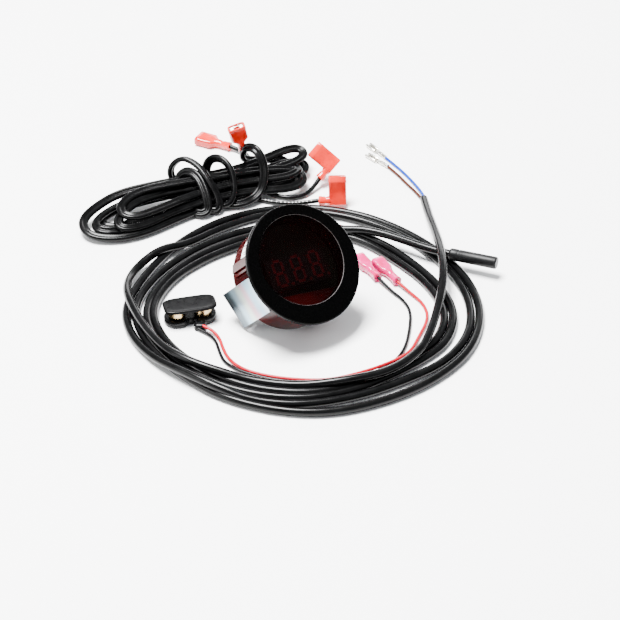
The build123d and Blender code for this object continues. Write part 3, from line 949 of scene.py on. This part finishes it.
def flag_sleeve():
    """Right-angle receptacle: a barrel along x and a housing whose mouth is up."""
    barrel = [
        (0.0, 2.1, 2.1, 2.0),
        (0.3, 2.4, 2.4, 2.0),
        (1.3, 2.4, 2.4, 2.0),
        (1.8, 2.2, 2.2, 2.0),
        (3.2, 2.15, 2.15, 2.0),
        (3.6, 2.05, 1.8, 2.4),
        (4.4, 2.05, 1.8, 2.4),
        (4.8, 2.2, 2.2, 2.0),
        (6.4, 2.3, 2.3, 2.4),
    ]
    housing = [
        (-2.45, 4.3, 1.85, 6.0),
        (-2.1, 4.65, 2.2, 6.0),
        (-1.0, 4.7, 2.3, 6.0),
        (9.4, 4.7, 2.3, 6.0),
        (9.7, 4.82, 2.42, 6.0),
        (10.5, 4.82, 2.42, 6.0),
        (10.8, 4.7, 2.3, 6.0),
        (12.6, 4.7, 2.3, 6.0),
        (13.0, 4.45, 2.05, 6.0),
        (13.0, 3.95, 1.45, 6.0),
        (4.5, 3.85, 1.4, 6.0),
    ]
    return [rings_along_x(barrel), rings_along_z(housing, FLAG_MIDDLE)]


def bare_terminal():
    """Uninsulated push-on receptacle: two crimps, a neck, a plate and its rolled edges."""
    crimps = [
        (0.0, 0.95, 0.95, 2.0),
        (0.1, 1.1, 1.1, 2.0),
        (2.0, 1.1, 1.1, 2.0),
        (2.2, 0.8, 0.75, 2.0),
        (3.0, 0.8, 0.7, 2.0),
        (3.3, 1.05, 0.9, 2.6),
        (6.0, 1.05, 0.9, 2.6),
        (6.4, 0.9, 0.5, 3.0),
        (8.4, 1.1, 0.4, 4.0),
    ]
    plate = [
        (8.0, 1.2, 0.2, 6.0),
        (9.0, 1.75, 0.22, 6.0),
        (16.4, 1.75, 0.22, 6.0),
        (17.0, 1.4, 0.2, 6.0),
    ]
    curl = [
        (8.8, 0.45, 0.5, 2.0),
        (9.1, 0.72, 0.68, 2.0),
        (16.6, 0.72, 0.68, 2.0),
        (17.0, 0.5, 0.5, 2.0),
    ]
    plate_rings = [[(x, y, z - 0.6) for x, y, z in ring] for ring in rings_along_x(plate)]
    parts = [rings_along_x(crimps), plate_rings]
    for side in (-1.25, 1.25):
        parts.append([[(x, y + side, z) for x, y, z in ring] for ring in rings_along_x(curl, 16)])
    return parts


# directions in which the fittings point, and their upper sides where these aren't up
PROBE_DIRECTION = (0.932, -0.361, 0.02)
BLUE_DIRECTION = (-0.544, 0.839, 0.0)
BROWN_DIRECTION = (-0.66, 0.751, 0.0)
BATTERY_DIRECTION = (-0.474, 0.880, 0.0)
FLAG_A_DIRECTION = (0.65, 0.447, 0.615)
FLAG_A_UPPER = (-0.76, 0.382, 0.526)
FLAG_B_DIRECTION = (1.0, 0.0, 0.03)
FLAG_B_UPPER = (-0.03, 0.36, 0.93)
SLEEVE_C_DIRECTION = (-0.889, 0.457, 0.0)
SLEEVE_D_DIRECTION = (-0.16, -0.31, 0.94)
SLEEVE_D_UPPER = (0.3, -0.9, -0.25)
TERMINAL_LIFT = 0.2


def sensor_tip():
    """Moulded probe with two shallow rolled grooves and a rounded shoulder."""
    rows = [
        (0.0, 2.5),
        (0.4, 2.95),
        (1.0, 3.15),
        (4.2, 3.15),
        (4.5, 3.02),
        (5.1, 3.02),
        (5.4, 3.15),
        (24.0, 3.15),
        (24.6, 3.05),
        (24.85, 2.8),
        (24.9, 2.7),
    ]
    return [rings_along_x([(x, r, r, 2.0) for x, r in rows], 40)]


def sensor_tip_face():
    rows = [(24.6, 2.68), (24.92, 2.66), (24.97, 1.9), (25.0, 0.8)]
    return [rings_along_x([(x, r, r, 2.0) for x, r in rows], 40)]


def add_sensor_fittings():
    probe = frame_along(SENSOR_PROBE[-1], PROBE_DIRECTION)
    add_fitting("sensor_tip", sensor_tip(), probe, "probe_black", ["sensor_probe"])
    add_fitting("sensor_tip_face", sensor_tip_face(), probe, "probe_potting")
    blue = frame_along(BLUE_ROUTE[-1], BLUE_DIRECTION)
    brown = frame_along(BROWN_ROUTE[-1], BROWN_DIRECTION)
    lift = Matrix.Translation((0, 0, TERMINAL_LIFT * MM))
    for name, place in (("blue", blue), ("brown", brown)):
        add_fitting(
            f"bare_terminal_{name}",
            bare_terminal(),
            lift @ place,
            "tin_brass",
            [f"sensor_terminal_{name}"],
        )


def add_sleeves():
    for colour, route in (("red", BATTERY_RED_ROUTE), ("black", BATTERY_BLACK_ROUTE)):
        add_fitting(
            f"pink_sleeve_{colour}",
            straight_sleeve(*BATTERY_SLEEVE),
            frame_along(route[-1], BATTERY_DIRECTION),
            "sleeve_pink",
            [f"battery_sleeve_{colour}"],
        )
    flag_a = frame_along(FLAG_A_ROUTE[-1], FLAG_A_DIRECTION, FLAG_A_UPPER)
    flag_b = frame_along(FLAG_B_ROUTE[-1], FLAG_B_DIRECTION, FLAG_B_UPPER)
    sleeve_c = frame_along(SLEEVE_C_ROUTE[-1], SLEEVE_C_DIRECTION)
    sleeve_d = frame_along(SLEEVE_D_ROUTE[-1], SLEEVE_D_DIRECTION, SLEEVE_D_UPPER)
    rows = [
        ("flag_cover_1", flag_sleeve(), flag_a, "flag_sleeve_1"),
        ("flag_cover_2", flag_sleeve(), flag_b, "flag_sleeve_2"),
        ("straight_cover_3", straight_sleeve(*POWER_SLEEVE), sleeve_c, "power_sleeve_3"),
        ("straight_cover_4", straight_sleeve(*POWER_SLEEVE), sleeve_d, "power_sleeve_4"),
    ]
    for name, parts, place, node in rows:
        add_fitting(name, parts, place, "sleeve_red", [node])


# ---------------------------------------------------------------- battery snap
SNAP_HALF_LENGTH = 13.0
SNAP_HALF_WIDTH = 6.3
SNAP_PITCH = 12.7
LOBE_RADIUS = 6.6
BAR_HALF_WIDTH = 4.6
BAR_REACH = 6.4
BOSS_PLACE = (3.6, -7.6, 0.0)
BOSS_TURN = -16.0


def snap_place():
    low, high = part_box("snap_cover")
    middle = (low + high) / 2
    place = Matrix.Rotation(math.radians(SNAP_TURN), 4, "Z")
    place.translation = Vector((middle.x, middle.y, 0.0))
    return place


def lobe_outline(inset, steps=72):
    """Outline of the two round lobes and the bar between them."""
    points = []
    for k in range(steps):
        turn = 2 * math.pi * (k + 0.5) / steps
        c = math.cos(turn)
        s = math.sin(turn)
        centre = SNAP_PITCH / 2
        radius = LOBE_RADIUS - inset
        inside = radius**2 - (centre * s) ** 2
        reach = centre * abs(c) + math.sqrt(inside) if inside > 0 else 0.0
        bar = min((BAR_HALF_WIDTH - inset) / max(abs(s), 1e-6), BAR_REACH)
        points.append((c * max(reach, bar), s * max(reach, bar)))
    return points


def snap_base():
    rows = [(0.0, 0.5), (0.3, 0.1), (0.6, 0.0), (1.5, 0.0), (1.7, 0.18), (1.9, 0.0), (3.0, 0.0)]
    rows += [(3.3, 0.2), (3.4, 0.7), (3.4, 1.3), (3.15, 1.5), (3.15, 2.4)]
    lobes = [[(x, y, z) for x, y in lobe_outline(inset)] for z, inset in rows]
    boss = [
        (0.0, 2.6, 3.2, 5.0),
        (0.4, 2.95, 3.5, 5.0),
        (2.6, 2.9, 3.45, 4.0),
        (3.2, 2.5, 3.0, 3.5),
        (3.4, 1.8, 2.4, 3.0),
    ]
    turn = Matrix.Rotation(math.radians(BOSS_TURN), 4, "Z")
    turn = Matrix.Translation(BOSS_PLACE) @ turn
    boss_rings = [[tuple(turn @ Vector(p)) for p in ring] for ring in rings_along_z(boss)]
    return [lobes, boss_rings]


def snap_plate():
    """Cover plate with a rolled rim and a top that is slightly dished."""
    rows = [
        (8.0, 0.7),
        (8.1, 0.3),
        (8.4, 0.0),
        (9.2, 0.0),
        (9.5, 0.2),
        (9.66, 0.6),
        (9.68, 1.0),
        (9.56, 1.6),
        (9.52, 3.0),
        (9.5, 5.0),
    ]
    profile = []
    for z, inset in rows:
        profile.append((z, SNAP_HALF_LENGTH - inset, SNAP_HALF_WIDTH - inset, 4.2))
    return [rings_along_z(profile, steps=64)]


def add_snap():
    place = snap_place()
    base_nodes = ["snap_moulding"]
    lid_nodes = ["snap_cover"]
    add_fitting("snap_base", snap_base(), place, "snap_vinyl", base_nodes)
    add_fitting("snap_lid", snap_plate(), place, "snap_plate", lid_nodes, "snap_lid")


# ---------------------------------------------------------------- details of the head
WINDOW_RADIUS = 22.65
WINDOW_OFFSET = (0.0, -2.2)
BEZEL_THICK = 2.6
CASE_RADIUS = 26.0
LABEL_THICK = 0.2
LABEL_RADIUS = CASE_RADIUS + LABEL_THICK
LABEL_ANGLES = (-69.0, -42.5)
LABEL_DEPTHS = (8.0, 15.8)  # the paper ends nearer the bezel than the CAD node does


def middle_of(node):
    low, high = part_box(node)
    return (low + high) / 2


def head_place():
    """Frame of the meter head: +Z out of the face, +X from stud 2 to stud 1, z = 0 in front."""
    bezel = middle_of("bezel")
    out = (bezel - middle_of("display_board")).normalized()
    across = middle_of("stud_1") - middle_of("stud_2")
    across = (across - out * across.dot(out)).normalized()
    up = out.cross(across)
    place = Matrix((across, up, out)).transposed().to_4x4()
    place.translation = bezel + out * BEZEL_THICK / 2 * MM
    return place


BEAD_STEPS = 96
BEAD_SIDES = 12
BEAD_SHIFT = (0.1, -0.06)  # outwards and along the face's axis
BEAD_HALF = (0.2, 0.16)


def painted_edge_highlight():
    """Thin bead where the bezel's opening is rounded over; its grey colour is a painted highlight."""
    rows = []
    for k in range(BEAD_SIDES):
        turn = 2 * math.pi * k / BEAD_SIDES
        radius = WINDOW_RADIUS + BEAD_SHIFT[0] + BEAD_HALF[0] * math.cos(turn)
        depth = BEAD_SHIFT[1] + BEAD_HALF[1] * math.sin(turn)
        ring = []
        for step in range(BEAD_STEPS):
            around = 2 * math.pi * step / BEAD_STEPS
            x = WINDOW_OFFSET[0] + radius * math.cos(around)
            y = WINDOW_OFFSET[1] + radius * math.sin(around)
            ring.append((x, y, depth))
        rows.append(ring)
    rows.append(rows[0])
    return rows


def band_on_case(radius, angles, depths, thick=0.04, steps=10):
    """Thin curved patch that stands on a cylinder of this radius."""
    rings = []
    for depth in depths:
        ring = []
        for level in (radius, radius + thick):
            row = []
            for step in range(steps + 1):
                share = step / steps
                turn = math.radians(angles[0] + (angles[1] - angles[0]) * share)
                row.append((level * math.cos(turn), level * math.sin(turn), -depth))
            ring += row if level == radius else row[::-1]
        rings.append(ring)
    return rings


# generic printed bars of the label: first angle, last angle, front and rear depth
LABEL_BARS = [
    (-66.8, -65.8, 9.0, 15.0),
    (-63.6, -62.8, 9.0, 14.0),
    (-59.6, -57.6, 8.0, 15.8),
    (-55.6, -54.6, 9.4, 14.8),
    (-52.8, -51.8, 9.4, 12.6),
    (-50.2, -49.2, 9.4, 15.0),
    (-47.4, -46.4, 9.4, 13.4),
    (-44.2, -43.0, 8.0, 15.8),
]


GLOW_DIRECTION = math.atan2(16.34, 5.44)
GLOW_HALF_ANGLE = math.radians(47.0)
GLOW_RADIUS = 20.6
GLOW_DROP = 0.6
GLOW_MIDDLE = 16.0
GLOW_STEPS = 28
GLOW_LEVELS = ((-3.6, 1.0), (-3.2, 1.0), (-3.1, 0.985))  # depth and share of the full size


def painted_light_panel():
    """Painted light: a red panel just behind the lens below the digits, a segment of a circle, standing
    in for light that shines through the red case wall.
    """
    outline = []
    for step in range(GLOW_STEPS + 1):
        angle = GLOW_DIRECTION - GLOW_HALF_ANGLE + 2 * GLOW_HALF_ANGLE * step / GLOW_STEPS
        outline.append((GLOW_RADIUS * math.cos(angle), GLOW_RADIUS * math.sin(angle) - GLOW_DROP))
    centre_x = GLOW_MIDDLE * math.cos(GLOW_DIRECTION)
    centre_y = GLOW_MIDDLE * math.sin(GLOW_DIRECTION)
    rings = []
    for depth, shrink in GLOW_LEVELS:
        ring = []
        for x, y in outline:
            ring.append(
                (centre_x + (x - centre_x) * shrink, centre_y + (y - centre_y) * shrink, depth)
            )
        rings.append(ring)
    return [rings]


# the bead is real geometry; its grey colour is a painted highlight
def add_painted_edge_highlight(place):
    ring = loft("painted_edge_highlight", placed(painted_edge_highlight(), place), closed_ends=False)
    work = bmesh.new()
    work.from_mesh(ring.data)
    bmesh.ops.remove_doubles(work, verts=work.verts, dist=1e-7)
    bmesh.ops.recalc_face_normals(work, faces=work.faces)
    work.to_mesh(ring.data)
    work.free()
    finish_with(ring, "painted_edge_highlight")
    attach(ring, ROOT)


def add_head_details():
    place = head_place()
    add_painted_edge_highlight(place)
    # painted light: red panel behind the lens below the digits, in place of light through the case wall
    add_fitting("painted_window_light", painted_light_panel(), place, "painted_window_light")
    paper = [band_on_case(CASE_RADIUS, LABEL_ANGLES, LABEL_DEPTHS, LABEL_THICK)]
    add_fitting("label_paper", paper, place, "label_white", ["side_label"])
    bars = []
    for first, last, front, rear in LABEL_BARS:
        bars.append(band_on_case(LABEL_RADIUS, (first, last), (front, rear)))
    add_fitting("label_bars", bars, place, "label_ink")


# ---------------------------------------------------------------- dotted print on one wire
DOT_SIDE = Vector((0, -0.45, 0.9))  # the print looks up and to the front
DOT_START = 0.010
DOT_PITCH = 0.0015
DOT_LAST = 0.003
DOT_LEVELS = ((1.05, 0.26), (1.2, 0.26), (1.23, 0.2))  # distance from the wire's axis, half size, mm


def add_wire_print():
    """A row of small raised dots along the upper side of the second single wire."""
    line = spline_line(metres(FLAG_B_ROUTE))
    total = line_length(line)
    dots = []
    travelled = 0.0
    due = DOT_START
    for before, after in zip(line, line[1:]):
        travelled += (after - before).length
        if travelled < due or travelled > total - DOT_LAST:
            continue
        due = travelled + DOT_PITCH
        tangent = (after - before).normalized()
        up = (DOT_SIDE - tangent * tangent.dot(DOT_SIDE)).normalized()
        side = tangent.cross(up)
        rings = []
        for level, half in DOT_LEVELS:
            ring = []
            for a, b in oval(half * 1.2, half, 2.4, 12):
                ring.append((after + tangent * a * MM + side * b * MM + up * level * MM) / MM)
            rings.append(ring)
        dots.append(rings)
    add_fitting("wire_print", dots, Matrix.Identity(4), "print_white")


# share of the way to the front, and colour; the dark stops towards the rear are painted shade
BRACKET_TINTS_AND_SHADE = [
    (0.0, (0.02, 0.025, 0.03)),
    (0.2, (0.08, 0.11, 0.13)),
    (0.38, (0.32, 0.46, 0.54)),
    (0.54, (0.56, 0.66, 0.6)),
    (0.66, (0.58, 0.4, 0.46)),
    (0.8, (0.34, 0.56, 0.68)),
    (1.0, (0.6, 0.7, 0.74)),
]
TINT_AND_SHADE_DEPTHS = (38 * MM, 4 * MM)


def tint_and_shade_bracket():
    """Blue, cream and rose passivation, with painted shade that darkens it to near black towards the
    rear.
    """
    place = head_place()
    out = place.col[2].to_3d()
    front = place.translation.dot(out)
    rear_end = front - TINT_AND_SHADE_DEPTHS[0]
    front_end = front - TINT_AND_SHADE_DEPTHS[1]
    band_colours(MATERIALS["zinc_steel"], out, rear_end, front_end, BRACKET_TINTS_AND_SHADE)


tint_and_shade_bracket()
add_sensor_fittings()
add_sleeves()
add_snap()
add_head_details()
add_wire_print()


# ---------------------------------------------------------------- the cords themselves
CABLE_DIAMETER = 4.2 * MM
CORE_DIAMETER = 1.5 * MM
BATTERY_WIRE_DIAMETER = 1.6 * MM
POWER_WIRE_DIAMETER = 2.4 * MM


def make_sensor_lead():
    jacket = make_cord(
        "sensor_cable",
        coil_route(),
        CABLE_DIAMETER,
        ["sensor_cable_coil", "sensor_cable_tail", "sensor_cable_probe_run"],
    )
    finish_with(jacket, "cable_jacket")
    for colour, points in (("blue", BLUE_ROUTE), ("brown", BROWN_ROUTE)):
        core = make_cord(
            f"sensor_wire_{colour}_core",
            metres(points),
            CORE_DIAMETER,
            [f"sensor_wire_{colour}"],
        )
        finish_with(core, f"wire_{colour}")


def make_battery_lead():
    for colour, points in (("red", BATTERY_RED_ROUTE), ("black", BATTERY_BLACK_ROUTE)):
        wire = make_cord(
            f"battery_lead_{colour}",
            metres(points),
            BATTERY_WIRE_DIAMETER,
            [f"battery_wire_{colour}"],
        )
        finish_with(wire, f"wire_{colour}")


def make_power_lead():
    route = metres([hank_point(*entry) for entry in HANK_ROUTE])
    twin, line = twin_cord("power_cord", route)
    finish_with(twin, "cord_black")
    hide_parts("power_cord_hank")
    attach(twin, ROOT)
    branches = [
        ("power_lead_1", FLAG_A_ROUTE, "power_wire_1", ["flag_cover_1"]),
        ("power_lead_2", FLAG_B_ROUTE, "power_wire_2", ["flag_cover_2", "wire_print"]),
        ("power_lead_3", SLEEVE_C_ROUTE, "power_wire_3", ["straight_cover_3"]),
        ("power_lead_4", SLEEVE_D_ROUTE, "power_wire_4", ["straight_cover_4"]),
    ]
    for name, points, node, ends in branches:
        wire = make_cord(name, metres(points), POWER_WIRE_DIAMETER, [node])
        finish_with(wire, "cord_black")


make_sensor_lead()
make_battery_lead()
make_power_lead()


# ---------------------------------------------------------------- stage and light
FLOOR_HALF = 6.0
FLOOR_DROP = 0.0002
WORLD_COLOUR = (0.93, 0.96, 1.0, 1.0)
WORLD_STRENGTH = 0.72
# name, place, aim, size in metres and power in watts
LIGHTS = [
    ("key_top", (-0.35, 0.15, 1.5), (0.0, 0.02, 0.0), (0.7, 0.6), 212.0),
    ("fill_left", (-1.3, -0.5, 0.7), (0.0, 0.0, 0.03), (0.7, 0.7), 12.0),
    ("back_strip", (0.3, 1.5, 0.6), (0.0, 0.05, 0.0), (1.6, 0.4), 16.0),
]


def add_floor():
    half = FLOOR_HALF
    corners = [(-half, -half, 0), (half, -half, 0), (half, half, 0), (-half, half, 0)]
    floor = mesh_object("floor", corners, [(0, 1, 2, 3)], smooth=False)
    floor.location.z = -FLOOR_DROP
    material = grain_material(
        "floor_white", (0.9, 0.9, 0.9), (0.93, 0.93, 0.93), 2, (0.55, 0.65), 0.0, 10,
    )
    floor.data.materials.append(material)


def add_area(name, place, aim, size, energy):
    data = bpy.data.lights.new(name, "AREA")
    data.shape = "RECTANGLE"
    data.size = size[0]
    data.size_y = size[1]
    data.energy = energy
    light = bpy.data.objects.new(name, data)
    light.location = place
    light.rotation_euler = (Vector(aim) - Vector(place)).to_track_quat("-Z", "Y").to_euler()
    bpy.context.scene.collection.objects.link(light)


def add_light():
    world = bpy.data.worlds.new("studio")
    world.use_nodes = True
    background = world.node_tree.nodes["Background"]
    background.inputs["Color"].default_value = WORLD_COLOUR
    background.inputs["Strength"].default_value = WORLD_STRENGTH
    bpy.context.scene.world = world
    for row in LIGHTS:
        add_area(*row)


add_floor()
add_light()
